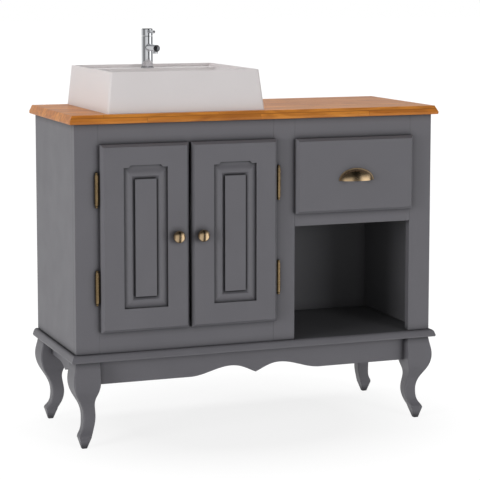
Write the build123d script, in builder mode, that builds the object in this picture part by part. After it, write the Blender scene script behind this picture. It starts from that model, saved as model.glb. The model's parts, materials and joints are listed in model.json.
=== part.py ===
from build123d import *
import os

# A painted bathroom vanity on cabriole legs, with a wooden worktop, a ceramic basin standing
# on it and a single tap. Millimetres; X to the right, Y to the back, Z up, floor at Z = 0.

os.makedirs("parts", exist_ok=True)

# Overall sizes
body_width = 1000
body_depth = 393
leg_height = 231
base_thickness = 19
carcass_height = 592
worktop_thickness = 23
worktop_overhang = 15
worktop_back_overhang = 7

# Boards
side_thickness = 18
frame_thickness = 20
back_thickness = 8
stile_width = 62.5
middle_stile_width = 60
niche_width = 336
niche_height = 304
door_top_rail_show = 53
door_bottom_rail_show = 56
drawer_top_rail_show = 55
drawer_rail_show = 34
rail_overlap = 7
hinge_strip_width = 22
back_rail_height = 90
fixing_spacing = 400
fixing_radius = 4
fixing_drop = 45
plumbing_width = 220
plumbing_height = 160
plumbing_sill = 200
plumbing_corner = 20

# Doors
door_standoff = 2
door_thickness = 18
door_gap = 7
door_start_inset = 1.75
door_end_overlap = 3.75
edge_bevel = 7
edge_bevel_depth = 8
panel_margin = 59.5
panel_groove_depth = 6
panel_ridge_offset = 20
panel_ridge_depth = 1
panel_valley_offset = 29
panel_field_offset = 30.5
panel_crown_rise = 6
panel_crown_inset = 19
groove_floor_lead = 8
groove_ridge_lead = 11
groove_ridge_width = 2
groove_cut_above = 1

# Hinges and catches
hinge_axis_out = 8.5
hinge_axis_forward = 5.3
knuckle_radius = 4.8
hinge_pin_radius = 2.5
hinge_pin_play = 0.05
leaf_thickness = 1
leaf_reach = 28
leaf_notch_play = 0.4
hinge_height = 76
hinge_spread = 126
knuckle_gap = 0.3
pin_cap_inset = 1
pin_cap_height = 2
finial_radius = 3.6
finial_stand = 2.9
catch_width = 50
catch_height = 15
catch_depth = 18
strike_thickness = 1.2
strike_width = 16
strike_gap = 0.3
strike_inset = 2

# Knobs and cup pull
knob_radius = 16
knob_projection = 26
knob_neck_radius = 5.5
knob_rose_radius = 9
knob_rose_thickness = 3
knob_rose_bevel = 1
knob_head_base = 10.4
knob_swell_at = 9.4
knob_swell_radius = 12
knob_shoulder_at = 12.5
knob_widest_at = 16.1
knob_crown_at = 21.8
knob_crown_radius = 8.8
knob_insets = {-1: 34, 1: 25.5}
knob_stud_radius = 2.5
knob_stud_length = 12
pull_width = 95
pull_height = 30
pull_depth = 23
pull_wall = 1.6
pull_flange = 3
pull_flange_thickness = 1.4
trim = 300

# Drawer
drawer_front_overlap_left = 0.75
drawer_front_overlap_right = 2.75
drawer_side_thickness = 12
drawer_bottom_thickness = 4
drawer_side_height = 146
drawer_back_gap = 67
drawer_lift = 7
runner_thickness = 12.7
runner_height = 45
runner_end_gap = 63
runner_sheet = 1.5
runner_setback = 2
runner_block_height = 45
outer_channel_depth = 6.5
middle_channel_start = 3.5
middle_channel_depth = 7
middle_channel_less = 7
inner_channel_start = 7
inner_channel_less = 15

# Base: legs, aprons and moulding
leg_block = 64
leg_corner = 4
toe_corner = 1.5
apron_thickness = 18
apron_recess = 23
apron_drop = 66
apron_peak_rise = 22
apron_peak_x = 69
apron_end_x = 180
apron_tip_lead = 22
apron_tip_lead_rise = 9
apron_peak_lead = 40
apron_fall_lead = 108
apron_end_lead = 140
apron_end_lead_rise = 2
side_apron_drop = 44
side_apron_tip_drop = 60
side_apron_wing = 66
side_tip_lead = 14
side_tip_lead_rise = 5
side_wing_lead = 24
corner_block_trim = 18
corner_block_height = 35
moulding_reach = 15
moulding_flat = 5
moulding_nose = 4
moulding_shoulder_run = 7
moulding_shoulder_drop = 1.5
moulding_nose_lead = 5
moulding_nose_inset = 2
moulding_foot_inset = 1

# Worktop edge
worktop_flat = 7
worktop_nose = 4
worktop_under_radius = 3

# Basin
basin_width = 430
basin_height = 106
basin_from_left = 306.4
basin_set_back = 12
basin_taper = 12
basin_back_taper = 2
basin_corner = 7
basin_rim = 7
basin_deck_drop = 8.5
basin_deck_thickness = 12
basin_deck_reach = 78
basin_bowl_floor = 22
basin_floor_thickness = 12
basin_wall = 10
basin_deck_wall = 8
bowl_floor_inset = 24
bowl_corner = 22
drain_off_middle = 5.5
tap_to_back = 50

# Tap
tap_radius = 15.5
tap_ring_radius = 18
tap_ring_height = 4
tap_ring_bevel = 1.2
tap_body_height = 86.5
tap_handle_gap = 1.5
tap_handle_height = 20
tap_handle_round = 3
tap_hole_radius = 15
tap_shank_radius = 12
tap_shank_length = 30
tap_inlet_radius = 10.5
tap_inlet_length = 45
tap_stem_radius = 6
tap_stem_play = 0.05
spout_radius = 9.2
spout_reach = 84
spout_height = 56.5
spout_bore = 7.6
spout_bore_depth = 8
aerator_radius = 7
aerator_drop = 14.5
aerator_set_back = 11
aerator_wall = 1.2
aerator_recess = 2
lever_radius = 4
lever_tip_round = 2.4
lever_reach = 63
lever_height = 12
tap_nut_across_flats = 30
tap_nut_height = 10
tap_washer_radius = 19
tap_washer_thickness = 3
access_hole_radius = 30

# Drain
drain_hole_radius = 22.5
drain_flange_radius = 31.5
drain_flange_thickness = 2.5
drain_body_radius = 20
drain_thread_radius = 17
drain_thread_length = 25
drain_thread_engaged = 20
drain_pipe_radius = 16
drain_pipe_wall = 1.5
drain_body_length = 52
drain_pipe_length = 125
drain_nut_radius = 29
drain_nut_height = 12
drain_nut_notches = 8
drain_nut_notch_radius = 2.5
plug_radius = 27
plug_thickness = 3.5
plug_round = 2
plug_gap = 0.3
plug_stem_radius = 4
plug_stem_play = 0.08
plug_stem_length = 26
plug_bridge_height = 6
plug_bridge_width = 14
plug_bridge_sunk = 1

# Levels and planes worked out from the sizes
base_level = leg_height
floor_level = base_level + base_thickness
top_level = floor_level + carcass_height
worktop_level = top_level + worktop_thickness
front_reach = door_standoff + door_thickness + knob_projection
back_reach = body_depth + worktop_back_overhang
face = (front_reach - back_reach) / 2
back = face + body_depth
wall = face + back_reach
frame_back = face + frame_thickness
inner_back = back - back_thickness
right = body_width / 2
left = -right
left_bay_start = left + stile_width
niche_end = right - stile_width
niche_start = niche_end - niche_width
left_bay_end = niche_start - middle_stile_width
middle_stile_centre = (left_bay_end + niche_start) / 2
partition_left = middle_stile_centre - side_thickness / 2
partition_right = middle_stile_centre + side_thickness / 2
inner_left = left + side_thickness
inner_right = right - side_thickness
niche_top = floor_level + niche_height
door_bottom = floor_level + door_bottom_rail_show
door_top = top_level - door_top_rail_show
drawer_bottom = niche_top + drawer_rail_show
drawer_top = top_level - drawer_top_rail_show
door_pair_start = left_bay_start + door_start_inset
door_pair_end = left_bay_end + door_end_overlap
door_centre = (door_pair_start + door_pair_end) / 2
door_width = (door_pair_end - door_pair_start - door_gap) / 2
basin_centre = left + basin_from_left
door_back = face - door_standoff
door_front = door_back - door_thickness
door_middle = (door_bottom + door_top) / 2


def save(piece, label):
    """Name a finished piece and write it."""
    piece.part.label = label
    export_step(piece.part, f"parts/{label}.step")


def board(x, y, z):
    """A plain board between two X, two Y and two Z limits."""
    with BuildPart() as piece:
        with BuildSketch(Plane.XY.offset(z[0])):
            with Locations(((x[0] + x[1]) / 2, (y[0] + y[1]) / 2)):
                Rectangle(x[1] - x[0], y[1] - y[0])
        extrude(amount=z[1] - z[0])
    return piece


def face_plane(y):
    """A sketch plane that faces the front, with X to the right and Z up."""
    return Plane(origin=(0, y, 0), x_dir=(1, 0, 0), z_dir=(0, -1, 0))


# --- Carcass -------------------------------------------------------------------------

save(board((left, right), (face, back), (base_level, floor_level)), "base_panel")

save(board((left, inner_left), (frame_back, back), (floor_level, top_level)), "left_side_panel")
save(board((inner_right, right), (frame_back, back), (floor_level, top_level)), "right_side_panel")

save(board((left, left_bay_start), (face, frame_back), (floor_level, top_level)), "left_stile")
save(board((left_bay_end, niche_start), (face, frame_back), (floor_level, top_level)), "middle_stile")
save(board((niche_end, right), (face, frame_back), (floor_level, top_level)), "right_stile")

save(board((left_bay_start, left_bay_end), (face, frame_back),
           (door_top - rail_overlap, top_level)), "door_top_rail")
save(board((left_bay_start, left_bay_end), (face, frame_back),
           (floor_level, door_bottom + rail_overlap)), "door_bottom_rail")
save(board((niche_start, niche_end), (face, frame_back),
           (drawer_top - rail_overlap, top_level)), "drawer_top_rail")
save(board((niche_start, niche_end), (face, frame_back),
           (niche_top, drawer_bottom + rail_overlap)), "drawer_bottom_rail")

# Strips behind the outer edges of the doors carry the hinges and stop the doors.
with BuildPart() as hinge_strips:
    with BuildSketch(Plane.XY.offset(door_bottom + rail_overlap)):
        for edge, inward in ((left_bay_start, 1), (left_bay_end, -1)):
            with Locations((edge + inward * hinge_strip_width / 2, face + frame_thickness / 2)):
                Rectangle(hinge_strip_width, frame_thickness)
    extrude(amount=door_top - door_bottom - 2 * rail_overlap)
save(hinge_strips, "hinge_strips")

save(board((partition_left, partition_right), (frame_back, inner_back),
           (floor_level, top_level)), "partition_panel")
save(board((partition_right, inner_right), (frame_back, inner_back),
           (niche_top, niche_top + side_thickness)), "niche_ceiling")

# Plain boards between the panels and the bay carry the drawer runners.
runner_middle = drawer_bottom + rail_overlap + drawer_lift + drawer_side_height / 2
with BuildPart() as runner_blocks:
    with BuildSketch(Plane.XY.offset(runner_middle - runner_block_height / 2)):
        for start, end in ((partition_right, niche_start), (niche_end, inner_right)):
            with Locations(((start + end) / 2, (frame_back + inner_back) / 2)):
                Rectangle(end - start, inner_back - frame_back)
    extrude(amount=runner_block_height)
save(runner_blocks, "runner_blocks")

bay_middle = (inner_left + partition_left) / 2
fixing_level = top_level - fixing_drop
fixing_points = [(bay_middle - fixing_spacing / 2, fixing_level),
                 (bay_middle + fixing_spacing / 2, fixing_level)]

with BuildPart() as back_panel:
    with BuildSketch(face_plane(back)):
        with Locations(((inner_left + inner_right) / 2, (floor_level + top_level) / 2)):
            Rectangle(inner_right - inner_left, carcass_height)
        with Locations((basin_centre, floor_level + plumbing_sill + plumbing_height / 2)):
            RectangleRounded(plumbing_width, plumbing_height, plumbing_corner, mode=Mode.SUBTRACT)
        with Locations(*fixing_points):
            Circle(fixing_radius, mode=Mode.SUBTRACT)
    extrude(amount=back_thickness)
save(back_panel, "back_panel")

with BuildPart() as back_rail:
    with BuildSketch(face_plane(inner_back)):
        with Locations((bay_middle, top_level - back_rail_height / 2)):
            Rectangle(partition_left - inner_left, back_rail_height)
        with Locations(*fixing_points):
            Circle(fixing_radius, mode=Mode.SUBTRACT)
    extrude(amount=side_thickness)
save(back_rail, "back_rail")

# --- Base: aprons, legs, corner blocks and moulding -----------------------------------

leg_inner = right - leg_block
apron_tip_level = base_level - apron_drop
with BuildPart() as front_apron:
    with BuildSketch(face_plane(face + apron_recess + apron_thickness)):
        with BuildLine():
            peak_level = apron_tip_level + apron_peak_rise
            rise = Bezier((0, apron_tip_level), (apron_tip_lead, apron_tip_level + apron_tip_lead_rise),
                          (apron_peak_lead, peak_level), (apron_peak_x, peak_level))
            fall = Bezier(rise @ 1, (apron_fall_lead, peak_level),
                          (apron_end_lead, apron_tip_level + apron_end_lead_rise),
                          (apron_end_x, apron_tip_level))
            Polyline(fall @ 1, (leg_inner, apron_tip_level), (leg_inner, base_level),
                     (0, base_level), rise @ 0)
        make_face()
        mirror(about=Plane.YZ)
    extrude(amount=apron_thickness)
save(front_apron, "front_apron")

save(board((-leg_inner, leg_inner), (back - apron_recess - apron_thickness, back - apron_recess),
           (apron_tip_level, base_level)), "back_apron")

side_apron_half = body_depth / 2 - leg_block
depth_middle = (face + back) / 2
for side, label in ((-1, "left_apron"), (1, "right_apron")):
    apron_start = side * (right - apron_recess - apron_thickness / 2) - apron_thickness / 2
    with BuildPart() as side_apron:
        apron_plane = Plane(origin=(apron_start, depth_middle, 0), x_dir=(0, 1, 0), z_dir=(1, 0, 0))
        with BuildSketch(apron_plane):
            with BuildLine():
                wing_level = base_level - side_apron_drop
                tip_level = base_level - side_apron_tip_drop
                wing = Bezier((0, tip_level), (side_tip_lead, tip_level + side_tip_lead_rise),
                              (side_wing_lead, wing_level), (side_apron_wing, wing_level))
                Polyline(wing @ 1, (side_apron_half, wing_level), (side_apron_half, base_level),
                         (0, base_level), wing @ 0)
            make_face()
            mirror(about=Plane.YZ)
        extrude(amount=apron_thickness)
    save(side_apron, label)

# A cabriole leg is square in section all the way down. Each station gives the height, how far
# the outer corner stands in from the body's corner, and how far the inner corner does.
toe_stations = [(0, 19, 32), (30, 10.3, 42.6)]
leg_stations = [
    (30, 10.3, 42.6), (41, 16.2, 47.8), (54, 22.4, 53.2), (70, 24.7, 57), (86, 24.5, 57.6),
    (102, 21.3, 55.6), (118, 14.5, 53.4), (134, 5.2, 54.8), (150, -2.6, 60), (166, -7, 63.4),
    (182, -8.2, 64), (200, -6, 64), (216, -2.6, 64), (231, 0, 64),
]
leg_scale = leg_height / leg_stations[-1][0]
block_scale = leg_block / leg_stations[-1][2]


def leg_section(station, corner, x_sign, y_sign):
    """One square section of a leg, at its height and place."""
    height, outer, inner = station
    middle = (outer + inner) / 2 * block_scale
    side = (inner - outer) * block_scale
    x = x_sign * (right - middle)
    y = depth_middle + y_sign * (body_depth / 2 - middle)
    with BuildSketch(Plane(origin=(x, y, height * leg_scale))) as section:
        RectangleRounded(side, side, corner)
    return section.sketch


def leg(x_sign, y_sign):
    """A leg at one corner: a tapered toe, and the curved shaft up to its square block."""
    with BuildPart() as piece:
        loft([leg_section(station, toe_corner, x_sign, y_sign) for station in toe_stations], ruled=True)
        loft([leg_section(station, leg_corner, x_sign, y_sign) for station in leg_stations])
        # The block's inner faces are flat, and the back legs stop at the wall.
        depth_limit = leg_block + worktop_back_overhang if y_sign > 0 else 2 * leg_block
        x_align = Align.MIN if x_sign > 0 else Align.MAX
        y_align = Align.MIN if y_sign > 0 else Align.MAX
        with Locations((x_sign * leg_inner, depth_middle + y_sign * (body_depth / 2 - leg_block), 0)):
            Box(2 * leg_block, depth_limit, leg_height, mode=Mode.INTERSECT,
                align=(x_align, y_align, Align.MIN))
    return piece


save(leg(-1, -1), "front_left_leg")
save(leg(1, -1), "front_right_leg")
save(leg(-1, 1), "back_left_leg")
save(leg(1, 1), "back_right_leg")

block_near = apron_recess + apron_thickness
corner_block_reach = 2 * leg_block - corner_block_trim
with BuildPart() as corner_blocks:
    with BuildSketch(Plane.XY.offset(base_level - corner_block_height)):
        for x_sign in (-1, 1):
            for y_sign in (-1, 1):
                with BuildLine():
                    outline = [(leg_block, block_near), (corner_block_reach, block_near),
                               (block_near, corner_block_reach), (block_near, leg_block),
                               (leg_block, leg_block)]
                    Polyline(*[(x_sign * (right - x), depth_middle + y_sign * (body_depth / 2 - y))
                               for x, y in outline], close=True)
                make_face()
    extrude(amount=corner_block_height)
save(corner_blocks, "corner_blocks")


def moulding_profile(plane):
    """The section of the base moulding: a flat, a rounded shoulder and a short nose."""
    with BuildSketch(plane) as profile:
        with BuildLine():
            shoulder = Bezier((moulding_flat, base_thickness),
                              (moulding_flat + moulding_shoulder_run,
                               base_thickness - moulding_shoulder_drop),
                              (moulding_reach - moulding_nose_inset, moulding_nose + moulding_nose_lead),
                              (moulding_reach, moulding_nose))
            Polyline(shoulder @ 1, (moulding_reach - moulding_foot_inset, 0), (0, 0),
                     (0, base_thickness), shoulder @ 0)
        make_face()
    return profile.sketch


with BuildPart() as front_moulding:
    front_plane = Plane(origin=(0, face, base_level), x_dir=(0, -1, 0), z_dir=(-1, 0, 0))
    extrude(moulding_profile(front_plane), amount=right + moulding_reach, both=True)
    with BuildSketch(Plane.XY.offset(base_level)):
        with BuildLine():
            Polyline((left - moulding_reach, face - moulding_reach),
                     (right + moulding_reach, face - moulding_reach),
                     (right, face), (left, face), close=True)
        make_face()
    extrude(amount=base_thickness, mode=Mode.INTERSECT)
save(front_moulding, "front_moulding")

for side, label in ((-1, "left_moulding"), (1, "right_moulding")):
    edge = side * right
    outer = side * (right + moulding_reach)
    with BuildPart() as side_moulding:
        side_plane = Plane(origin=(edge, depth_middle, base_level), x_dir=(side, 0, 0), z_dir=(0, -side, 0))
        extrude(moulding_profile(side_plane), amount=body_depth, both=True)
        with BuildSketch(Plane.XY.offset(base_level)):
            with BuildLine():
                Polyline((edge, face), (outer, face - moulding_reach), (outer, back), (edge, back),
                         close=True)
            make_face()
        extrude(amount=base_thickness, mode=Mode.INTERSECT)
    save(side_moulding, label)

# --- Doors ----------------------------------------------------------------------------

panel_width = door_width - 2 * panel_margin
panel_height = door_top - door_bottom - 2 * panel_margin


def bevelled_front(x, z):
    """A slab that stands proud of the frame, with its four front edges bevelled."""
    with BuildPart() as slab:
        with BuildSketch(face_plane(door_back)):
            with Locations(((x[0] + x[1]) / 2, (z[0] + z[1]) / 2)):
                Rectangle(x[1] - x[0], z[1] - z[0])
        extrude(amount=door_thickness)
        front_face = slab.faces().sort_by(Axis.Y)[0]
        chamfer(front_face.edges(), length=edge_bevel, length2=edge_bevel_depth, reference=front_face)
    return slab


def panel_groove(centre):
    """The routed groove round a door's raised field, as the solid that is cut away."""
    half_width = panel_width / 2
    half_height = panel_height / 2
    with BuildPart() as groove:
        with BuildSketch(Plane(origin=(centre - half_width, door_front, door_middle),
                               x_dir=(1, 0, 0), z_dir=(0, 0, 1))) as section:
            with BuildLine():
                rise = Bezier((0, panel_groove_depth), (groove_floor_lead, panel_groove_depth),
                              (groove_ridge_lead, panel_ridge_depth), (panel_ridge_offset, panel_ridge_depth))
                Polyline(rise @ 1, (panel_ridge_offset + groove_ridge_width, panel_ridge_depth),
                         (panel_valley_offset, panel_groove_depth), (panel_field_offset, panel_groove_depth),
                         (panel_field_offset, -groove_cut_above), (0, -groove_cut_above), rise @ 0)
            make_face()
        with BuildLine() as path:
            corners = [(-half_width, 0), (-half_width, half_height), (half_width, half_height),
                       (half_width, -half_height), (-half_width, -half_height), (-half_width, 0)]
            Polyline(*[(centre + x, door_front, door_middle + z) for x, z in corners])
        sweep(section.sketch, path=path.wire(), transition=Transition.RIGHT)
    return groove


def door(side):
    """One door: its slab, the groove round its field, the crown over the groove and the knob hole."""
    centre = door_centre + side * (door_gap + door_width) / 2
    slab = bevelled_front((centre - door_width / 2, centre + door_width / 2),
                          (door_bottom, door_top))
    groove = panel_groove(centre)
    groove_top = door_middle + panel_height / 2
    crown_half = panel_width / 2 - panel_crown_inset
    knob_x = centre - side * (door_width / 2 - knob_insets[side])
    with BuildPart() as leaf:
        add(slab.part)
        add(groove.part, mode=Mode.SUBTRACT)
        with BuildSketch(face_plane(door_front)):
            with BuildLine():
                Polyline((centre - crown_half - panel_crown_rise, groove_top),
                         (centre - crown_half, groove_top + panel_crown_rise),
                         (centre + crown_half, groove_top + panel_crown_rise),
                         (centre + crown_half + panel_crown_rise, groove_top), close=True)
            make_face()
        extrude(amount=-panel_groove_depth, mode=Mode.SUBTRACT)
        with BuildSketch(face_plane(door_front)):
            with Locations((knob_x, door_middle)):
                Circle(knob_stud_radius)
        extrude(amount=-knob_stud_length, mode=Mode.SUBTRACT)
    return leaf


save(door(-1), "left_door")
save(door(1), "right_door")


def knob(side):
    """A round knob on a small rose, with the stud that screws into the door."""
    x = door_centre + side * (door_gap / 2 + knob_insets[side])
    with BuildPart() as piece:
        with BuildSketch(Plane(origin=(x, door_front, door_middle), x_dir=(1, 0, 0), z_dir=(0, 0, 1))):
            with BuildLine():
                base = Polyline((0, knob_stud_length), (knob_stud_radius, knob_stud_length),
                                (knob_stud_radius, 0), (knob_rose_radius, 0),
                                (knob_rose_radius, knob_rose_bevel - knob_rose_thickness),
                                (knob_rose_radius - knob_rose_bevel, -knob_rose_thickness),
                                (knob_neck_radius, -knob_rose_thickness), (knob_neck_radius, -knob_head_base))
                head = Bezier(base @ 1, (knob_swell_radius, -knob_swell_at),
                              (knob_radius, -knob_shoulder_at), (knob_radius, -knob_widest_at))
                crown = Bezier(head @ 1, (knob_radius, -knob_crown_at),
                               (knob_crown_radius, -knob_projection), (0, -knob_projection))
                Line(crown @ 1, base @ 0)
            make_face()
        revolve(axis=Axis((x, door_front, door_middle), (0, 1, 0)))
    return piece


save(knob(-1), "left_knob")
save(knob(1), "right_knob")

# --- Hinges and catches ---------------------------------------------------------------

hinge_y = face - hinge_axis_forward
hinge_centres = [door_middle - hinge_spread, door_middle + hinge_spread]
leaf_clear = knuckle_radius + leaf_notch_play


def hinge_x(side):
    """The hinge axis of a door, a little outside its outer edge."""
    return door_centre + side * ((door_pair_end - door_pair_start) / 2 + hinge_axis_out)


def hinge_halves(sides, leaf_y, knuckle_low):
    """Leaf plates with their half knuckles, for every hinge on the given sides."""
    with BuildPart() as halves:
        for side in sides:
            axis_x = hinge_x(side)
            for centre in hinge_centres:
                low = centre - hinge_height / 2
                with BuildSketch(Plane.XY.offset(low if knuckle_low else centre + knuckle_gap / 2)):
                    with Locations((axis_x, hinge_y)):
                        Circle(knuckle_radius)
                    with Locations((axis_x - side * leaf_reach / 2, leaf_y + leaf_thickness / 2)):
                        Rectangle(leaf_reach, leaf_thickness)
                    with Locations((axis_x, hinge_y)):
                        Circle(hinge_pin_radius + hinge_pin_play, mode=Mode.SUBTRACT)
                extrude(amount=(hinge_height - knuckle_gap) / 2)
                with BuildSketch(Plane.XY.offset(low)):
                    with Locations((axis_x - side * (leaf_reach + leaf_clear) / 2,
                                    leaf_y + leaf_thickness / 2)):
                        Rectangle(leaf_reach - leaf_clear, leaf_thickness)
                extrude(amount=hinge_height)
    return halves


save(hinge_halves((-1, 1), face - leaf_thickness, True), "hinge_frame_leaves")
save(hinge_halves((-1,), door_back, False), "left_door_hinge_leaves")
save(hinge_halves((1,), door_back, False), "right_door_hinge_leaves")

with BuildPart() as hinge_pins:
    for side in (-1, 1):
        for centre in hinge_centres:
            base = centre - hinge_height / 2
            tip = centre + hinge_height / 2 + knuckle_gap
            with Locations((hinge_x(side), hinge_y, base)):
                Cylinder(hinge_pin_radius, tip - base, align=(Align.CENTER, Align.CENTER, Align.MIN))
                Cylinder(knuckle_radius - pin_cap_inset, pin_cap_height,
                         align=(Align.CENTER, Align.CENTER, Align.MAX))
            with Locations((hinge_x(side), hinge_y, tip)):
                Cylinder(knuckle_radius - pin_cap_inset, pin_cap_height,
                         align=(Align.CENTER, Align.CENTER, Align.MIN))
            for end in (base - pin_cap_height - finial_stand, tip + pin_cap_height + finial_stand):
                with Locations((hinge_x(side), hinge_y, end)):
                    Sphere(finial_radius)
save(hinge_pins, "hinge_pins")

# A double magnetic catch under the top rail, and one strike plate on each door.
catch_top = door_top - rail_overlap
catch_front = door_back + strike_thickness + strike_gap
save(board((door_centre - catch_width / 2, door_centre + catch_width / 2),
           (catch_front, catch_front + catch_depth), (catch_top - catch_height, catch_top)), "magnetic_catch")
for side, label in ((-1, "left_door_strike"), (1, "right_door_strike")):
    near = door_centre + side * (door_gap / 2 + strike_inset)
    far = near + side * strike_width
    save(board((min(near, far), max(near, far)), (door_back, door_back + strike_thickness),
               (catch_top - catch_height + strike_inset, catch_top - strike_inset)), label)

# --- Drawer ---------------------------------------------------------------------------

drawer_left = niche_start - drawer_front_overlap_left
drawer_right = niche_end + drawer_front_overlap_right
drawer_centre = (drawer_left + drawer_right) / 2
drawer_middle = (drawer_bottom + drawer_top) / 2
save(bevelled_front((drawer_left, drawer_right), (drawer_bottom, drawer_top)), "drawer_front")

box_left = niche_start + runner_thickness
box_right = niche_end - runner_thickness
box_floor = drawer_bottom + rail_overlap + drawer_lift
box_base = box_floor + drawer_bottom_thickness
box_top = box_floor + drawer_bottom_thickness + drawer_side_height
box_back = inner_back - drawer_back_gap
runner_length = inner_back - frame_back - runner_setback - runner_end_gap
save(board((box_left, box_left + drawer_side_thickness), (door_back, box_back), (box_base, box_top)),
     "drawer_left_side")
save(board((box_right - drawer_side_thickness, box_right), (door_back, box_back), (box_base, box_top)),
     "drawer_right_side")
save(board((box_left + drawer_side_thickness, box_right - drawer_side_thickness),
           (box_back - drawer_side_thickness, box_back), (box_base, box_top)), "drawer_back")
save(board((box_left, box_right), (door_back, box_back), (box_floor, box_base)), "drawer_bottom")


def channel_pair(offset, depth, height, opens_out):
    """Two facing steel channels, one at each side of the drawer box."""
    start = frame_back + runner_setback
    with BuildPart() as pair:
        with BuildSketch(face_plane(start + runner_length)):
            for wall_x, inward in ((niche_start, 1), (niche_end, -1)):
                web = offset if opens_out else offset + depth - runner_sheet
                with Locations((wall_x + inward * (web + runner_sheet / 2), runner_middle)):
                    Rectangle(runner_sheet, height)
                for lift in (-1, 1):
                    with Locations((wall_x + inward * (offset + depth / 2),
                                    runner_middle + lift * (height - runner_sheet) / 2)):
                        Rectangle(depth, runner_sheet)
        extrude(amount=runner_length)
    return pair


save(channel_pair(0, outer_channel_depth, runner_height, True), "runner_outer_members")
save(channel_pair(middle_channel_start, middle_channel_depth, runner_height - middle_channel_less, True),
     "runner_middle_members")
save(channel_pair(inner_channel_start, runner_thickness - inner_channel_start,
                  runner_height - inner_channel_less, False), "runner_inner_members")

# Cup pull: a hollow quarter dome, open below, on a thin flange.
with BuildPart() as cup_pull:
    pull_base = drawer_middle - pull_height / 2
    dome = scale(Sphere(1, mode=Mode.PRIVATE), mode=Mode.PRIVATE,
                 by=(pull_width / 2, pull_depth, pull_height))
    hollow = scale(Sphere(1, mode=Mode.PRIVATE), mode=Mode.PRIVATE,
                   by=(pull_width / 2 - pull_wall, pull_depth - pull_wall, pull_height - pull_wall))
    pull_seat = Location((drawer_centre, door_front, pull_base))
    with BuildSketch(face_plane(door_front)):
        with Locations((drawer_centre, pull_base)):
            Ellipse(pull_width / 2 + pull_flange, pull_height + pull_flange)
    extrude(amount=pull_flange_thickness)
    add(pull_seat * dome)
    add(pull_seat * hollow, mode=Mode.SUBTRACT)
    with Locations((drawer_centre, door_front, pull_base)):
        Box(trim, trim, trim, align=(Align.CENTER, Align.CENTER, Align.MAX), mode=Mode.SUBTRACT)
        Box(trim, trim, trim, align=(Align.CENTER, Align.MIN, Align.CENTER), mode=Mode.SUBTRACT)
save(cup_pull, "cup_pull")

# --- Worktop --------------------------------------------------------------------------

tap_x = basin_centre
tap_y = wall - tap_to_back
basin_front = face + basin_set_back
bowl_front = basin_front + basin_taper + basin_rim
bowl_back = wall - basin_deck_reach
drain_y = (bowl_front + bowl_back) / 2 - drain_off_middle

with BuildPart() as worktop:
    with BuildSketch(Plane.XY.offset(top_level)):
        with Locations((0, (face - worktop_overhang + wall) / 2)):
            Rectangle(body_width + 2 * worktop_overhang, wall - face + worktop_overhang)
    extrude(amount=worktop_thickness)
    top_face = worktop.faces().sort_by(Axis.Z)[-1]
    shown_edges = top_face.edges().sort_by(Axis.Y)[:-1]
    chamfer(shown_edges, length=worktop_overhang - worktop_flat,
            length2=worktop_thickness - worktop_nose - worktop_under_radius, reference=top_face)
    under_edges = worktop.faces().sort_by(Axis.Z)[0].edges().sort_by(Axis.Y)[:-1]
    fillet(under_edges, radius=worktop_under_radius)
    with BuildSketch(Plane.XY.offset(top_level)):
        with Locations((tap_x, tap_y), (tap_x, drain_y)):
            Circle(access_hole_radius)
    extrude(amount=worktop_thickness, mode=Mode.SUBTRACT)
save(worktop, "worktop")

# --- Basin ----------------------------------------------------------------------------

rim_level = worktop_level + basin_height
deck_level = rim_level - basin_deck_drop
rim_front = basin_front + basin_taper
rim_back = wall - basin_back_taper
rim_half = basin_width / 2 - basin_taper
bowl_floor_level = worktop_level + basin_bowl_floor


def basin_outline(level, front_y, back_y, half_width, corner):
    """A rounded rectangle across the basin at one level."""
    with BuildSketch(Plane.XY.offset(level)) as outline:
        with Locations((basin_centre, (front_y + back_y) / 2)):
            RectangleRounded(2 * half_width, back_y - front_y, corner)
    return outline.sketch


bowl_half = rim_half - basin_rim
foot_level = worktop_level + basin_bowl_floor - basin_floor_thickness
with BuildPart() as basin:
    foot_outline = basin_outline(worktop_level, basin_front, wall, basin_width / 2, basin_corner)
    rim_outline = basin_outline(rim_level, rim_front, rim_back, rim_half, basin_corner)
    loft([foot_outline, rim_outline])
    deck_outline = basin_outline(deck_level, bowl_front, rim_back - basin_rim, bowl_half, basin_corner / 2)
    extrude(deck_outline, amount=basin_deck_drop, mode=Mode.SUBTRACT)
    bowl_floor_outline = basin_outline(bowl_floor_level, bowl_front + bowl_floor_inset,
                                       bowl_back - bowl_floor_inset, bowl_half - bowl_floor_inset,
                                       bowl_corner)
    bowl_mouth_outline = basin_outline(deck_level, bowl_front, bowl_back, bowl_half, bowl_corner / 2)
    loft([bowl_floor_outline, bowl_mouth_outline], mode=Mode.SUBTRACT)
    # The underside is hollow: a shallow recess below the bowl and a deep one below the deck.
    foot_hollow = basin_outline(worktop_level, basin_front + basin_wall, wall - basin_wall,
                                basin_width / 2 - basin_wall, basin_corner)
    extrude(foot_hollow, amount=foot_level - worktop_level, mode=Mode.SUBTRACT)
    deck_hollow = basin_outline(worktop_level, bowl_back + basin_deck_wall,
                                wall - basin_back_taper - basin_wall, rim_half - basin_wall, basin_corner)
    extrude(deck_hollow, amount=deck_level - basin_deck_thickness - worktop_level, mode=Mode.SUBTRACT)
    with BuildSketch(Plane.XY.offset(worktop_level)):
        with Locations((tap_x, drain_y)):
            Circle(drain_hole_radius)
        with Locations((tap_x, tap_y)):
            Circle(tap_hole_radius)
    extrude(amount=basin_height, mode=Mode.SUBTRACT)
save(basin, "basin")

# --- Tap ------------------------------------------------------------------------------

spout_level = deck_level + spout_height
body_top = deck_level + tap_body_height
handle_base = body_top + tap_handle_gap
lever_level = handle_base + lever_height
deck_under = deck_level - basin_deck_thickness
nut_top = deck_under - tap_washer_thickness

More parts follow.
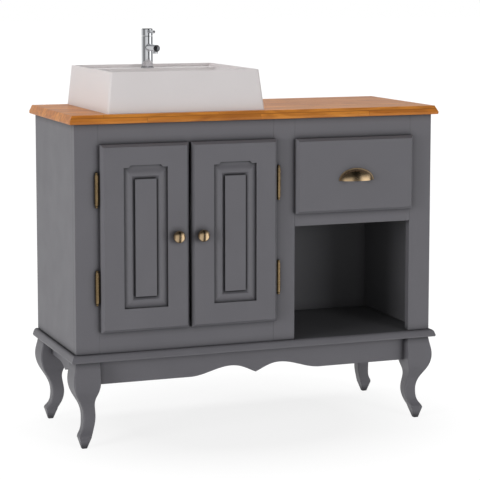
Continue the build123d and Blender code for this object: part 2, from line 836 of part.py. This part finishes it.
with BuildPart() as tap_body:
    with Locations((tap_x, tap_y, deck_level)):
        Cylinder(tap_ring_radius, tap_ring_height, align=(Align.CENTER, Align.CENTER, Align.MIN))
    chamfer(tap_body.edges().sort_by(Axis.Z)[-1:], length=tap_ring_bevel)
    with Locations((tap_x, tap_y, deck_level)):
        Cylinder(tap_radius, tap_body_height, align=(Align.CENTER, Align.CENTER, Align.MIN))
        Cylinder(tap_shank_radius, tap_shank_length, align=(Align.CENTER, Align.CENTER, Align.MAX))
    with Locations((tap_x, tap_y, deck_level - tap_shank_length)):
        Cylinder(tap_inlet_radius, tap_inlet_length, align=(Align.CENTER, Align.CENTER, Align.MAX))
    with Locations((tap_x, tap_y, body_top)):
        Cylinder(tap_stem_radius, tap_handle_height / 2, align=(Align.CENTER, Align.CENTER, Align.MIN))
save(tap_body, "tap_body")

with BuildPart() as tap_spout:
    with BuildSketch(face_plane(tap_y)):
        with Locations((tap_x, spout_level)):
            Circle(spout_radius)
    extrude(amount=spout_reach)
    with BuildSketch(face_plane(tap_y - spout_reach)):
        with Locations((tap_x, spout_level)):
            Circle(spout_bore)
    extrude(amount=-spout_bore_depth, mode=Mode.SUBTRACT)
    with Locations((tap_x, tap_y, spout_level)):
        Cylinder(tap_radius, trim, mode=Mode.SUBTRACT)
save(tap_spout, "tap_spout")

aerator_y = tap_y - spout_reach + aerator_set_back
with BuildPart() as tap_aerator:
    with Locations((tap_x, aerator_y, spout_level - aerator_drop)):
        Cylinder(aerator_radius, aerator_drop, align=(Align.CENTER, Align.CENTER, Align.MIN))
        Cylinder(aerator_radius - aerator_wall, aerator_recess, mode=Mode.SUBTRACT,
                 align=(Align.CENTER, Align.CENTER, Align.MIN))
    with BuildSketch(face_plane(tap_y)):
        with Locations((tap_x, spout_level)):
            Circle(spout_radius)
    extrude(amount=spout_reach, mode=Mode.SUBTRACT)
save(tap_aerator, "tap_aerator")

with BuildPart() as tap_handle:
    with Locations((tap_x, tap_y, handle_base)):
        Cylinder(tap_radius, tap_handle_height, align=(Align.CENTER, Align.CENTER, Align.MIN))
    fillet(tap_handle.edges().sort_by(Axis.Z)[-1:], radius=tap_handle_round)
    with Locations((tap_x, tap_y, handle_base)):
        Cylinder(tap_stem_radius + tap_stem_play, tap_handle_height / 2, mode=Mode.SUBTRACT,
                 align=(Align.CENTER, Align.CENTER, Align.MIN))
save(tap_handle, "tap_handle")

with BuildPart() as tap_lever:
    with BuildSketch(face_plane(tap_y)):
        with Locations((tap_x, lever_level)):
            Circle(lever_radius)
    extrude(amount=lever_reach)
    fillet(tap_lever.edges().sort_by(Axis.Y)[:1], radius=lever_tip_round)
    with Locations((tap_x, tap_y, lever_level)):
        Cylinder(tap_radius, trim, mode=Mode.SUBTRACT)
save(tap_lever, "tap_lever")

with BuildPart() as tap_fixing_nut:
    with BuildSketch(Plane.XY.offset(nut_top)):
        with Locations((tap_x, tap_y)):
            Circle(tap_washer_radius)
            Circle(tap_shank_radius, mode=Mode.SUBTRACT)
    extrude(amount=tap_washer_thickness)
    with BuildSketch(Plane.XY.offset(nut_top)):
        with Locations((tap_x, tap_y)):
            RegularPolygon(tap_nut_across_flats / 2, 6, major_radius=False)
            Circle(tap_shank_radius, mode=Mode.SUBTRACT)
    extrude(amount=-tap_nut_height)
save(tap_fixing_nut, "tap_fixing_nut")

# --- Drain ----------------------------------------------------------------------------

flange_top = bowl_floor_level + drain_flange_thickness
drain_end = flange_top - drain_body_length
with BuildPart() as drain_body:
    with Locations((tap_x, drain_y, flange_top)):
        Cylinder(drain_flange_radius, drain_flange_thickness,
                 align=(Align.CENTER, Align.CENTER, Align.MAX))
        Cylinder(drain_body_radius, drain_body_length, align=(Align.CENTER, Align.CENTER, Align.MAX))
        Cylinder(drain_thread_radius, drain_body_length, mode=Mode.SUBTRACT,
                 align=(Align.CENTER, Align.CENTER, Align.MAX))
    with Locations((tap_x, drain_y, flange_top - plug_stem_length + plug_bridge_height)):
        Box(2 * (drain_thread_radius + plug_bridge_sunk), plug_bridge_width, plug_bridge_height,
            align=(Align.CENTER, Align.CENTER, Align.MAX))
        Cylinder(plug_stem_radius + plug_stem_play, trim, mode=Mode.SUBTRACT)
save(drain_body, "drain_body")

with BuildPart() as drain_plug:
    with Locations((tap_x, drain_y, flange_top + plug_gap)):
        Cylinder(plug_radius, plug_thickness, align=(Align.CENTER, Align.CENTER, Align.MIN))
        Cylinder(plug_stem_radius, plug_stem_length, align=(Align.CENTER, Align.CENTER, Align.MAX))
    fillet(drain_plug.edges().sort_by(Axis.Z)[-1:], radius=plug_round)
save(drain_plug, "drain_plug")

with BuildPart() as drain_nut:
    with BuildSketch(Plane.XY.offset(foot_level)):
        with Locations((tap_x, drain_y)):
            Circle(drain_nut_radius)
            Circle(drain_body_radius, mode=Mode.SUBTRACT)
            with PolarLocations(drain_nut_radius, drain_nut_notches):
                Circle(drain_nut_notch_radius, mode=Mode.SUBTRACT)
    extrude(amount=-drain_nut_height)
save(drain_nut, "drain_nut")

thread_top = drain_end + drain_thread_engaged
with BuildPart() as drain_tailpiece:
    with Locations((tap_x, drain_y, thread_top)):
        Cylinder(drain_thread_radius, drain_thread_length, align=(Align.CENTER, Align.CENTER, Align.MAX))
    with Locations((tap_x, drain_y, thread_top - drain_thread_length)):
        Cylinder(drain_pipe_radius, drain_pipe_length, align=(Align.CENTER, Align.CENTER, Align.MAX))
    with Locations((tap_x, drain_y, thread_top)):
        Cylinder(drain_pipe_radius - drain_pipe_wall, drain_thread_length + drain_pipe_length,
                 align=(Align.CENTER, Align.CENTER, Align.MAX), mode=Mode.SUBTRACT)
save(drain_tailpiece, "drain_tailpiece")
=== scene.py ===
import json
import math

import bpy
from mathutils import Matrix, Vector


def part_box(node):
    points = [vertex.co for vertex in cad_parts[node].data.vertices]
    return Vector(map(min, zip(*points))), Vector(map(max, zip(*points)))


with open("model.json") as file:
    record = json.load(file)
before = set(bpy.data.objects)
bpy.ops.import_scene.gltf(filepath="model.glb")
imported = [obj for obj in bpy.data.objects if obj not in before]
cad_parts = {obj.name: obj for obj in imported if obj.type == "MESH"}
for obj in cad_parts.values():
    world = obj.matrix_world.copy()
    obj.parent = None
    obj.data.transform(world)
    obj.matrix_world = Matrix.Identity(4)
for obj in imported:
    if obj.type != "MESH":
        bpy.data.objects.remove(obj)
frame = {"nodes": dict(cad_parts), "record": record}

# Lengths in metres
EASED = 0.0013
SEAM = 0.00001
SHARP = math.radians(40)
PAINT_LINE_START = 0.0008
PAINT_LINE_END = 0.0012
STAVE_LENGTH = 0.31
STAVE_WIDTH = 0.047
GLUE_LINE = 0.0005
FLOOR_REACH = 40.0
SHADOW_START = 0.3
SHADOW_END = 0.8

# Camera: where it stands in metres, and how far it is turned and tipped in radians
CAMERA_PLACE = (-1.70463, -4.56392, 1.22013)
CAMERA_TURN = -0.36003
CAMERA_TIP = -0.1139
CAMERA_LENS = 135.432
CAMERA_SENSOR = 36.0
CAMERA_RISE = -0.125

# Sockets that a Mix node has for its two colours
UNDER = 6
OVER = 7

nodes = frame["nodes"]
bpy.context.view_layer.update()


# ---- shader kit ----


def shade(red, green, blue):
    """A colour read off a paint chart, 0 to 255, as the light that it gives back."""
    lift, straight, slope, power = 0.055, 0.04045, 12.92, 2.4
    parts = [part / 255 for part in (red, green, blue)]
    linear = [p / slope if p <= straight else ((p + lift) / (1 + lift)) ** power for p in parts]
    return (*linear, 1.0)


class Signal:
    """A value, colour or vector on its way from one shader node to the next."""

    def __init__(self, recipe, socket):
        self.recipe = recipe
        self.socket = socket

    def maths(self, operation, *terms):
        """One Math node: on this value alone, or on the terms given."""
        return self.recipe.add("ShaderNodeMath", {"operation": operation}, dict(enumerate(terms or (self,))))

    def __add__(self, other):
        return self.maths("ADD", self, other)

    def __radd__(self, other):
        return self.maths("ADD", other, self)

    def __sub__(self, other):
        return self.maths("SUBTRACT", self, other)

    def __rsub__(self, other):
        return self.maths("SUBTRACT", other, self)

    def __mul__(self, other):
        return self.maths("MULTIPLY", self, other)

    def __rmul__(self, other):
        return self.maths("MULTIPLY", other, self)

    def __pow__(self, other):
        return self.maths("POWER", self, other)


class Recipe:
    """A node tree being put together from nothing."""

    def __init__(self, owner):
        owner.use_nodes = True
        self.tree = owner.node_tree
        self.tree.nodes.clear()

    def add(self, kind, settings=None, sockets=None, output=0):
        """Any node: its settings first, then the values or links of its sockets."""
        node = self.tree.nodes.new(kind)
        for name, value in (settings or {}).items():
            setattr(node, name, value)
        for key, value in (sockets or {}).items():
            if isinstance(value, Signal):
                self.tree.links.new(value.socket, node.inputs[key])
            else:
                node.inputs[key].default_value = value
        return Signal(self, node.outputs[output] if len(node.outputs) else None)

    def between(self, value, low, high, first=0.0, last=1.0):
        """The value, from low to high, spread evenly from first to last and held there."""
        return self.add("ShaderNodeMapRange", {"clamp": True}, {
            "Value": value, "From Min": low, "From Max": high, "To Min": first, "To Max": last})


class Finish(Recipe):
    """One finish of the vanity, put together as a node material."""

    def __init__(self, name):
        self.material = bpy.data.materials.new(name)
        super().__init__(self.material)
        self.place = self.add("ShaderNodeTexCoord", output="Object")
        self.facing = self.add("ShaderNodeNewGeometry", output="Normal")

    def stretch(self, along_x, along_y, along_z):
        """The place on the piece, with each direction packed closer by its own factor."""
        return self.add("ShaderNodeVectorMath", {"operation": "MULTIPLY"},
                        {0: self.place, 1: (along_x, along_y, along_z)})

    def noise(self, scale, detail=3.0, roughness=0.5, place=None, distortion=0.0):
        return self.add("ShaderNodeTexNoise", {}, {
            "Vector": place or self.place, "Scale": scale, "Detail": detail,
            "Roughness": roughness, "Distortion": distortion})

    def drift(self, scale, shift, detail=4.0, roughness=0.6, place=None, distortion=0.0):
        """Noise that starts afresh wherever the shift changes."""
        return self.add("ShaderNodeTexNoise", {"noise_dimensions": "4D"}, {
            "Vector": place or self.place, "W": shift, "Scale": scale, "Detail": detail,
            "Roughness": roughness, "Distortion": distortion})

    def mix(self, share, under, over):
        return self.add("ShaderNodeMix", {"data_type": "RGBA"},
                        {"Factor": share, UNDER: under, OVER: over}, output=2)

    def edge(self, radius):
        """1 on edges and corners, falling to 0 a radius away."""
        rounded = self.add("ShaderNodeBevel", {"samples": 4}, {"Radius": radius})
        agree = self.add("ShaderNodeVectorMath", {"operation": "DOT_PRODUCT"},
                         {0: rounded, 1: self.facing}, output="Value")
        return self.between(agree, 0.99, 0.82)

    def crevice(self, reach):
        """1 deep in a gap or corner, 0 in the open."""
        openness = self.add("ShaderNodeAmbientOcclusion", {"samples": 6}, {"Distance": reach}, output="AO")
        return self.between(openness, 0.95, 0.35)

    def bump(self, height, depth, strength=1.0, under=None):
        sockets = {"Height": height, "Distance": depth, "Strength": strength}
        if under:
            sockets["Normal"] = under
        return self.add("ShaderNodeBump", {}, sockets)

    def done(self, sockets):
        """The finished surface from the sockets of one Principled shader."""
        surface = self.add("ShaderNodeBsdfPrincipled", {}, sockets)
        self.add("ShaderNodeOutputMaterial", {}, {"Surface": surface})
        return self.material


# ---- finishes ----


def grey_paint(name, inside=None):
    """Sprayed satin lacquer on board: faint orange peel, rubbed edges, and painted shade, near black, in the
    gaps and corners.

    Nearer to the middle than the inside distance, the board has the darker paint of the carcass, painted
    shade for the dim inside of the niche.
    """
    paint = Finish(name)
    batch = paint.noise(2.2, detail=2.0)
    cloud = paint.noise(14.0, detail=4.0)
    peel = paint.noise(420.0, detail=2.0)
    ripple = paint.noise(70.0, detail=2.0)
    rubbed = paint.edge(0.0016) * paint.between(paint.noise(45.0, detail=4.0), 0.38, 0.62, 0.25, 1.0)
    # Painted shade: gaps and corners go nearly black, and a little rougher.
    corner_shade = paint.crevice(0.02)
    tone = paint.mix(batch * 0.6 + cloud * 0.4, shade(108, 107, 112), shade(118, 117, 122))
    tone = paint.mix(rubbed * 0.22, tone, shade(150, 149, 154))
    tone = paint.mix(corner_shade * 0.95, tone, shade(20, 20, 24))
    sheen = paint.between(cloud, 0.3, 0.7, 0.40, 0.48) + corner_shade * 0.2 - rubbed * 0.06
    if inside:
        # Painted shade: the inner face of the end panel takes the darker carcass tone.
        across = paint.add("ShaderNodeSeparateXYZ", {}, {0: paint.place}, output="X").maths("ABSOLUTE")
        shaded_inner_face = paint.between(across, inside + PAINT_LINE_END, inside + PAINT_LINE_START)
        tone = paint.mix(shaded_inner_face, tone, paint.mix(cloud, shade(98, 98, 101), shade(110, 110, 113)))
    relief = paint.bump(peel, 0.00004, 0.5, under=paint.bump(ripple, 0.0002, 0.25))
    return paint.done({"Base Color": tone, "Roughness": sheen, "Normal": relief})


def painted_grey():
    return grey_paint("satin_grey_paint")


def carcass_dark():
    """Matt paint on the inside of the carcass, a little darker than the grey as painted shade for the dim
    inside, with painted shade deeper in its corners.
    """
    paint = Finish("shaded_inside_paint")
    cloud = paint.noise(9.0, detail=4.0)
    stipple = paint.noise(260.0, detail=3.0)
    worn = paint.edge(0.0014)
    # Painted shade: the corners are mixed towards near black.
    deep_corner_shade = paint.crevice(0.03)
    tone = paint.mix(cloud, shade(98, 98, 101), shade(110, 110, 113))
    tone = paint.mix(worn * 0.3, tone, shade(118, 117, 119))
    tone = paint.mix(deep_corner_shade * 0.5, tone, shade(40, 40, 42))
    return paint.done({
        "Base Color": tone, "Roughness": paint.between(cloud, 0.3, 0.7, 0.58, 0.7),
        "Normal": paint.bump(stipple, 0.0001, 0.4)})


def worktop_wood():
    """Glued amber staves under a satin varnish: end joints, figure, pores and a few darker streaks."""
    wood = Finish("varnished_staves")
    joints = {"offset": 0.37, "squash": 1.0}
    glueing = {
        "Vector": wood.place, "Scale": 1.0, "Mortar Size": GLUE_LINE, "Mortar Smooth": 0.4,
        "Brick Width": STAVE_LENGTH, "Row Height": STAVE_WIDTH}
    stave = wood.add("ShaderNodeTexBrick", joints, {
        **glueing, "Color1": (0, 0, 0, 1), "Color2": (1, 1, 1, 1), "Mortar": (0.5, 0.5, 0.5, 1),
        "Bias": 0.0}, output="Color")
    glue = wood.add("ShaderNodeTexBrick", joints, glueing, output="Fac")
    trees = 29.0
    tree = stave * trees
    plane = wood.drift(1.0, tree, detail=2.0, place=wood.stretch(2.4, 15.0, 15.0), distortion=0.3)
    ring_count = 58.0
    rings = wood.between((plane * ring_count).maths("SINE"), -1.0, 1.0)
    fibre = wood.drift(1.0, tree, detail=5.0, place=wood.stretch(9.0, 320.0, 320.0))
    streak = wood.drift(1.0, tree, detail=3.0, place=wood.stretch(1.6, 34.0, 34.0))
    dots = wood.drift(1.0, tree, detail=2.0, place=wood.stretch(42.0, 1500.0, 1500.0))
    pores = wood.between(dots, 0.60, 0.72)
    tone = wood.mix(stave, shade(212, 130, 46), shade(230, 150, 60))
    tone = wood.mix(rings * 0.42, tone, shade(138, 68, 20))
    tone = wood.mix(wood.between(streak, 0.52, 0.74) * 0.45, tone, shade(112, 52, 16))
    tone = wood.mix(wood.between(fibre, 0.35, 0.7) * 0.35, tone, shade(212, 134, 60))
    tone = wood.mix(pores * 0.55, tone, shade(84, 40, 18))
    tone = wood.mix(glue * 0.5, tone, shade(92, 46, 22))
    edge = wood.edge(0.0022)
    tone = wood.mix(edge * 0.18, tone, shade(222, 154, 88))
    relief = wood.bump(fibre * 0.5 + rings * 0.3 - pores, 0.00012, 0.5)
    return wood.done({
        "Base Color": tone, "Roughness": wood.between(fibre, 0.3, 0.7, 0.38, 0.50) + pores * 0.15,
        "Coat Weight": wood.between(streak, 0.3, 0.7, 0.22, 0.12), "Coat Roughness": 0.16, "Normal": relief})


def drawer_birch():
    """Clear-lacquered birch plywood: pale long grain, flecks, and its plies along the edges."""
    birch = Finish("birch_ply")
    grain = birch.noise(1.0, detail=5.0, roughness=0.6, place=birch.stretch(60.0, 7.0, 90.0), distortion=0.4)
    fleck = birch.between(birch.noise(1.0, detail=3.0, place=birch.stretch(420.0, 60.0, 420.0)), 0.60, 0.70)
    warm = birch.noise(3.0, detail=2.0)
    tone = birch.mix(grain, shade(214, 184, 142), shade(188, 150, 106))
    tone = birch.mix(warm * 0.35, tone, shade(226, 200, 162))
    tone = birch.mix(fleck * 0.4, tone, shade(146, 106, 66))
    tone = birch.mix(birch.crevice(0.012) * 0.45, tone, shade(96, 70, 46))
    tone = birch.mix(birch.edge(0.001) * 0.4, tone, shade(168, 122, 78))
    return birch.done({
        "Base Color": tone, "Roughness": birch.between(grain, 0.3, 0.7, 0.38, 0.52),
        "Normal": birch.bump(grain - fleck * 0.6, 0.0001, 0.5)})


def white_ceramic():
    """Fired white glaze: slow waves, thin and greyer on the arrises, a little darker and rougher in the
    corners.
    """
    glaze = Finish("white_glaze")
    wave = glaze.noise(7.0, detail=2.0)
    peel = glaze.noise(95.0, detail=2.0)
    speck = glaze.between(glaze.noise(260.0, detail=1.0), 0.76, 0.80)
    thin = glaze.edge(0.004)
    corner_mask = glaze.crevice(0.03)
    tone = glaze.mix(wave, shade(238, 233, 233), shade(243, 238, 238))
    tone = glaze.mix(thin * 0.35, tone, shade(216, 210, 210))
    tone = glaze.mix(corner_mask * 0.3, tone, shade(206, 200, 199))
    tone = glaze.mix(speck * 0.3, tone, shade(176, 168, 156))
    relief = glaze.bump(peel, 0.00005, 0.3, under=glaze.bump(wave, 0.0012, 0.3))
    return glaze.done({
        "Base Color": tone, "Roughness": glaze.between(wave, 0.3, 0.7, 0.30, 0.37) + corner_mask * 0.08,
        "Coat Weight": 0.06, "Coat Roughness": 0.12, "Normal": relief})


def tap_chrome():
    """Polished chrome plate with dried water marks and fine wiping scratches."""
    plate = Finish("polished_chrome")
    smear = plate.noise(26.0, detail=4.0)
    marks = plate.add("ShaderNodeTexVoronoi", {"feature": "SMOOTH_F1"}, {
        "Vector": plate.place, "Scale": 210.0, "Randomness": 1.0}, output="Distance")
    ring = plate.between(marks, 0.17, 0.10) * plate.between(smear, 0.52, 0.62)
    wipe = plate.noise(1.0, detail=3.0, place=plate.stretch(900.0, 900.0, 90.0))
    # Darker, duller and less metallic in the tightest corners.
    tight_corner_mask = plate.crevice(0.004)
    tone = plate.mix(smear, shade(222, 224, 227), shade(206, 208, 212))
    tone = plate.mix(ring * 0.3, tone, shade(178, 178, 176))
    tone = plate.mix(tight_corner_mask * 0.6, tone, shade(60, 58, 56))
    return plate.done({
        "Base Color": tone, "Metallic": 1.0 - tight_corner_mask * 0.3,
        "Roughness": plate.between(smear, 0.4, 0.65, 0.04, 0.11) + ring * 0.12 + tight_corner_mask * 0.3,
        "Normal": plate.bump(wipe, 0.00002, 0.25)})


def brass(name, worn, plain, patina, age):
    """Brass that has darkened with age, rubbed bright where hands and edges meet it."""
    metal = Finish(name)
    cloud = metal.noise(34.0, detail=3.0, roughness=0.5)
    pits = metal.between(metal.noise(700.0, detail=2.0), 0.64, 0.76)
    rubbed = metal.edge(0.0012) * metal.between(cloud, 0.3, 0.6, 0.4, 1.0)
    sunk = metal.crevice(0.006)
    old = metal.between(cloud, 0.3, 0.75, age * 0.5, age)
    tone = metal.mix(old, plain, patina)
    tone = metal.mix(sunk * 0.85, tone, patina)
    tone = metal.mix(rubbed * 0.55, tone, worn)
    tone = metal.mix(pits * 0.5, tone, patina)
    rough = metal.between(cloud, 0.3, 0.7, 0.20, 0.30) + sunk * 0.22 + pits * 0.1 - rubbed * 0.08
    return metal.done({
        "Base Color": tone, "Metallic": 1.0 - sunk * 0.35 - pits * 0.2, "Roughness": rough,
        "Normal": metal.bump(cloud - pits, 0.00003, 0.4)})


def aged_brass():
    return brass("antique_brass", shade(240, 218, 180), shade(214, 186, 148), shade(50, 39, 29), 0.3)


def hinge_brass():
    return brass("dark_hinge_brass", shade(226, 198, 150), shade(178, 152, 112), shade(38, 31, 24), 0.5)


def fitting_brass():
    return brass("plumbing_brass", shade(230, 200, 130), shade(204, 168, 98), shade(110, 82, 46), 0.35)


def runner_steel():
    """Zinc-plated strip: soft spangle, drawing lines, darker and duller in the channels."""
    zinc = Finish("zinc_plated_steel")
    spangle = zinc.add("ShaderNodeTexVoronoi", {}, {"Vector": zinc.place, "Scale": 160.0}, output="Color")
    drawn = zinc.noise(1.0, detail=3.0, place=zinc.stretch(1100.0, 14.0, 1100.0))
    channel_mask = zinc.crevice(0.008)
    tone = zinc.mix(spangle * 0.5, shade(176, 180, 184), shade(200, 203, 206))
    tone = zinc.mix(channel_mask * 0.6, tone, shade(84, 80, 72))
    return zinc.done({
        "Base Color": tone, "Metallic": 1.0 - channel_mask * 0.4,
        "Roughness": zinc.between(drawn, 0.3, 0.7, 0.28, 0.42) + channel_mask * 0.1,
        "Normal": zinc.bump(drawn, 0.00004, 0.4)})


def catch_plastic():
    """Moulded black case of the magnetic catch, scuffed on its corners."""
    case = Finish("moulded_black")
    spark = case.noise(900.0, detail=2.0)
    scuff = case.edge(0.0008) * case.between(case.noise(160.0), 0.4, 0.6)
    tone = case.mix(case.noise(30.0), shade(34, 34, 35), shade(46, 46, 47))
    tone = case.mix(scuff * 0.5, tone, shade(104, 104, 104))
    return case.done({
        "Base Color": tone, "Roughness": case.between(spark, 0.3, 0.7, 0.42, 0.55) + scuff * 0.1,
        "Normal": case.bump(spark, 0.00006, 0.5)})


finishes = {maker.__name__: maker() for maker in (
    painted_grey, carcass_dark, worktop_wood, drawer_birch, white_ceramic,
    tap_chrome, aged_brass, fitting_brass, runner_steel, catch_plastic)}
for part in frame["record"]["subparts"]:
    skin = nodes[part["node"]].data.materials
    skin.clear()
    skin.append(finishes[part["material_slot"]])

# The end panels are grey outside and darker inside, like the rest of the carcass: their inner faces carry
# painted shade for the niche.
end_panel = grey_paint("end_panel_paint", inside=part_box("right_side_panel")[0].x)
for name in ("left_side_panel", "right_side_panel"):
    nodes[name].data.materials[0] = end_panel

# The hinges have darkened more than the knobs, which hands keep bright.
dark_brass = hinge_brass()
for name in ("hinge_frame_leaves", "hinge_pins", "left_door_hinge_leaves", "right_door_hinge_leaves"):
    nodes[name].data.materials[0] = dark_brass


# ---- eased edges on the plain boards ----

boards = (
    "left_stile", "middle_stile", "right_stile", "door_top_rail", "door_bottom_rail", "drawer_top_rail",
    "drawer_bottom_rail", "left_side_panel", "right_side_panel", "base_panel", "partition_panel",
    "niche_ceiling", "drawer_left_side", "drawer_right_side", "drawer_back")
for name in boards:
    board = nodes[name]
    weld = board.modifiers.new("weld", "WELD")
    weld.merge_threshold = SEAM
    ease = board.modifiers.new("ease", "BEVEL")
    ease.width = EASED
    ease.segments = 2
    ease.limit_method = "ANGLE"
    ease.angle_limit = SHARP


# ---- studio ----


def studio_white():
    """A floor that is white all round and takes a faint shadow under the vanity."""
    white = Finish("studio_floor")
    mottle = white.noise(1.5, detail=2.0)
    cloth = white.add("ShaderNodeBsdfDiffuse", {}, {
        "Color": white.mix(mottle, shade(244, 244, 244), shade(248, 248, 248)), "Roughness": 0.5})
    glow_strength = 1.06
    glow_near = 0.74
    glow_on_others = 0.04
    lit = white.add("ShaderNodeEmission", {}, {"Strength": glow_strength})
    seen = white.add("ShaderNodeLightPath", output="Is Camera Ray")
    away = white.add("ShaderNodeVectorMath", {"operation": "LENGTH"}, {0: white.place}, output="Value")
    open_floor = white.between(away, SHADOW_START, SHADOW_END, glow_near, 1.0)
    share = seen * open_floor + (1.0 - seen) * glow_on_others
    white.add("ShaderNodeOutputMaterial", {}, {
        "Surface": white.add("ShaderNodeMixShader", {}, {0: share, 1: cloth, 2: lit})})
    return white.material


def sheet(name, corners, finish):
    mesh = bpy.data.meshes.new(name)
    mesh.from_pydata(corners, [], [tuple(range(len(corners)))])
    mesh.materials.append(finish)
    panel = bpy.data.objects.new(name, mesh)
    bpy.context.scene.collection.objects.link(panel)
    return panel


corners = ((-1, -1), (1, -1), (1, 1), (-1, 1))
floor = sheet("floor", [(FLOOR_REACH * x, FLOOR_REACH * y, 0) for x, y in corners], studio_white())
floor.visible_glossy = False


def lamp(name, place, target, size, power, tint=(1.0, 1.0, 1.0)):
    light = bpy.data.lights.new(name, "AREA")
    light.shape = "RECTANGLE"
    light.size, light.size_y = size
    light.energy = power
    light.color = tint
    holder = bpy.data.objects.new(name, light)
    holder.location = place
    holder.rotation_euler = (Vector(target) - Vector(place)).to_track_quat("-Z", "Y").to_euler()
    bpy.context.scene.collection.objects.link(holder)
    holder.visible_camera = False
    holder.visible_glossy = False


lamp("key", (-4.3, -1.9, 1.0), (0.0, 0.0, 0.5), (1.8, 1.6), 77.0, (1.0, 0.99, 0.99))
lamp("front", (1.7, -4.6, 1.1), (0.3, 0.0, 0.5), (1.4, 1.2), 52.0)
lamp("overhead", (0.0, 0.6, 3.2), (0.0, 0.0, 0.8), (2.0, 1.2), 40.0)

# The room is dim overhead and bright behind the vanity. In front it has a pale wall, a dark gap and a
# bright window on the right, so that metal and varnish have something to show.
world = bpy.data.worlds.new("studio")
room = Recipe(world)
heading = room.add("ShaderNodeTexCoord", output="Generated")
aside = room.add("ShaderNodeSeparateXYZ", {}, {0: heading}, output="X")
behind = room.add("ShaderNodeSeparateXYZ", {}, {0: heading}, output="Y")
above = room.add("ShaderNodeSeparateXYZ", {}, {0: heading}, output="Z")
ambient = room.between(above, 0.0, 0.8, 0.55, 0.12) * room.between(aside, -0.7, 0.7, 1.15, 0.55)
wall = room.between(aside, -0.88, -0.78, 0.28, 0.85) * room.between(aside, 0.0, 0.08, 1.0, 0.04)
window = room.between(aside, 0.46, 0.52) * room.between(aside, 0.93, 0.97, 1.5, 0.0)
front_room = (wall + window) * room.between(behind, -0.05, 0.15, 1.0, 0.0)
back_room = room.between(behind, -0.05, 0.6, 0.0, 0.75)
mirrored = (front_room + back_room) * room.between(above, 0.15, 0.6, 1.0, 0.08)
seen = room.add("ShaderNodeLightPath", output="Is Camera Ray")
reflected = room.add("ShaderNodeLightPath", output="Is Glossy Ray")
glow = reflected * mirrored + (1.0 - reflected) * ambient
glow = seen + (1.0 - seen) * glow
backdrop = room.add("ShaderNodeBackground", {}, {"Color": (1.0, 1.0, 1.0, 1.0), "Strength": glow})
room.add("ShaderNodeOutputWorld", {}, {"Surface": backdrop})
bpy.context.scene.world = world
bpy.context.scene.view_settings.view_transform = "Standard"

camera_lens = bpy.data.cameras.new("camera")
camera_lens.sensor_width = CAMERA_SENSOR
camera_lens.lens = CAMERA_LENS
camera_lens.shift_y = CAMERA_RISE
camera = bpy.data.objects.new("camera", camera_lens)
camera.location = CAMERA_PLACE
camera.rotation_euler = (math.pi / 2 + CAMERA_TIP, 0.0, CAMERA_TURN)
bpy.context.scene.collection.objects.link(camera)
bpy.context.scene.camera = camera
